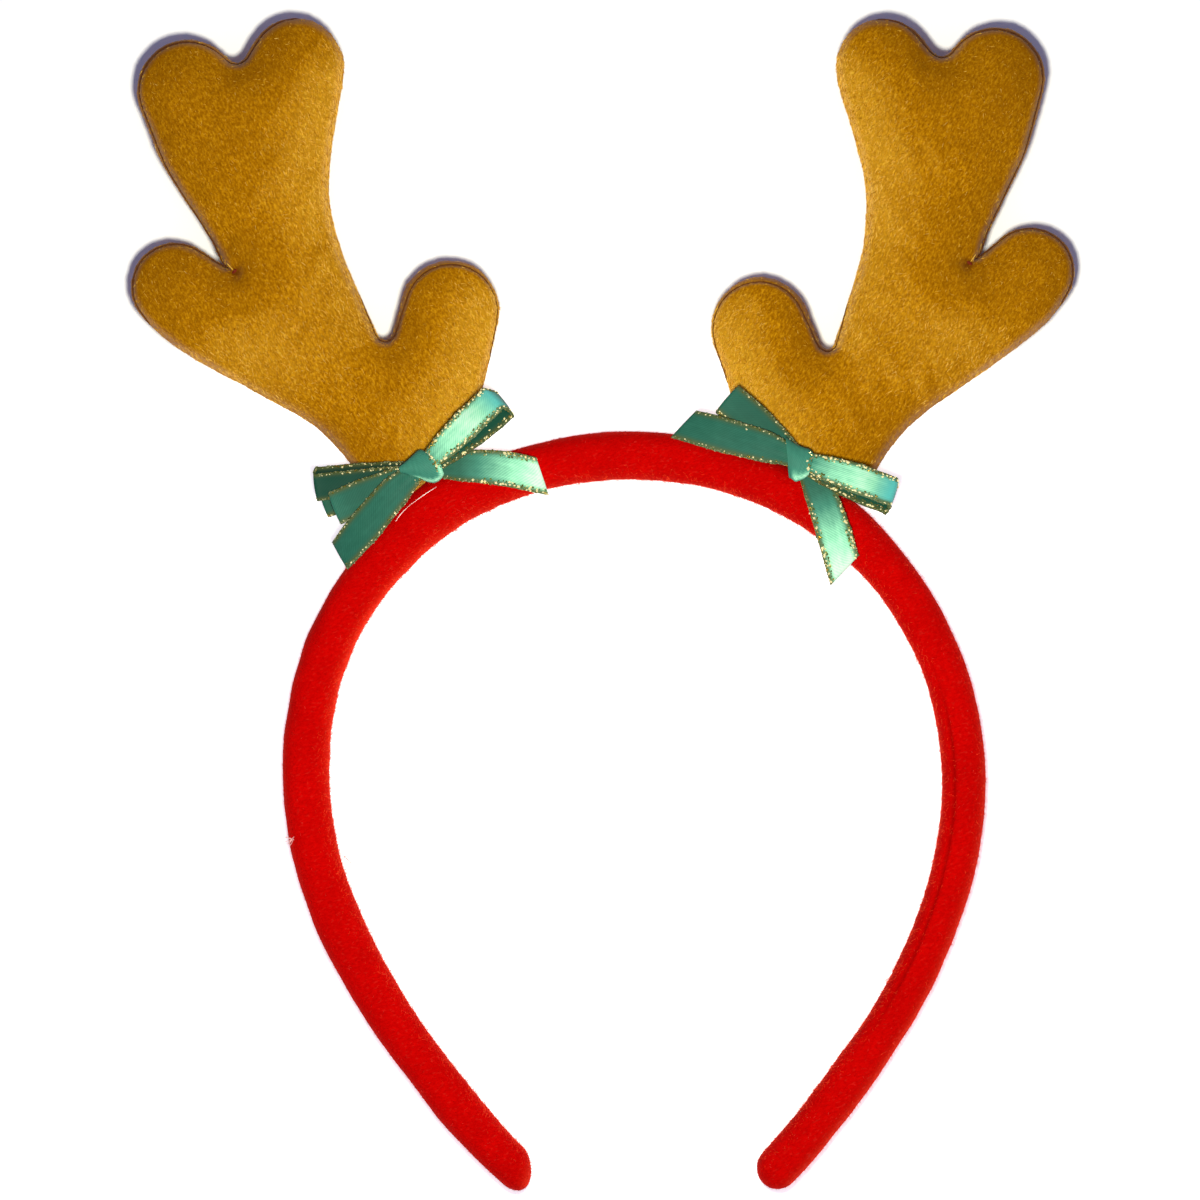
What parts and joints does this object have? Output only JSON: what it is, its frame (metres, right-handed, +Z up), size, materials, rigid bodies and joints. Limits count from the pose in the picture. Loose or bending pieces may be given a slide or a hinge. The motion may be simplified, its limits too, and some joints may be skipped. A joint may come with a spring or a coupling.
{
  "type": "reindeer antler headband",
  "caption": "Padded felt hoop headband with stuffed felt reindeer antlers on its crown and a satin ribbon bow at the foot of each antler.",
  "frame": {"origin": "on the table under the middle of the headband as it lies flat, front up", "axes": "+Z up from the table, which is the way the wearer faces; +Y from the open ends of the hoop to the antler tips; +X to the right seen from the front"},
  "size_m": [0.1882, 0.2341, 0.0218],
  "materials": {
    "red_felt": "brushed felt",
    "brown_felt": "brushed felt",
    "green_satin": "satin ribbon with gold edges"
  },
  "bodies": {
    "root": {"band": "red_felt", "antler_left": "brown_felt", "antler_right": "brown_felt", "bow_left_knot": "green_satin", "bow_left_loop_inner": "green_satin", "bow_left_loop_outer": "green_satin", "bow_left_tail_inner": "green_satin", "bow_left_tail_outer": "green_satin", "bow_right_knot": "green_satin", "bow_right_loop_outer": "green_satin", "bow_right_loop_inner": "green_satin", "bow_right_tail_outer": "green_satin", "bow_right_tail_inner": "green_satin"}
  },
  "joints": []
}
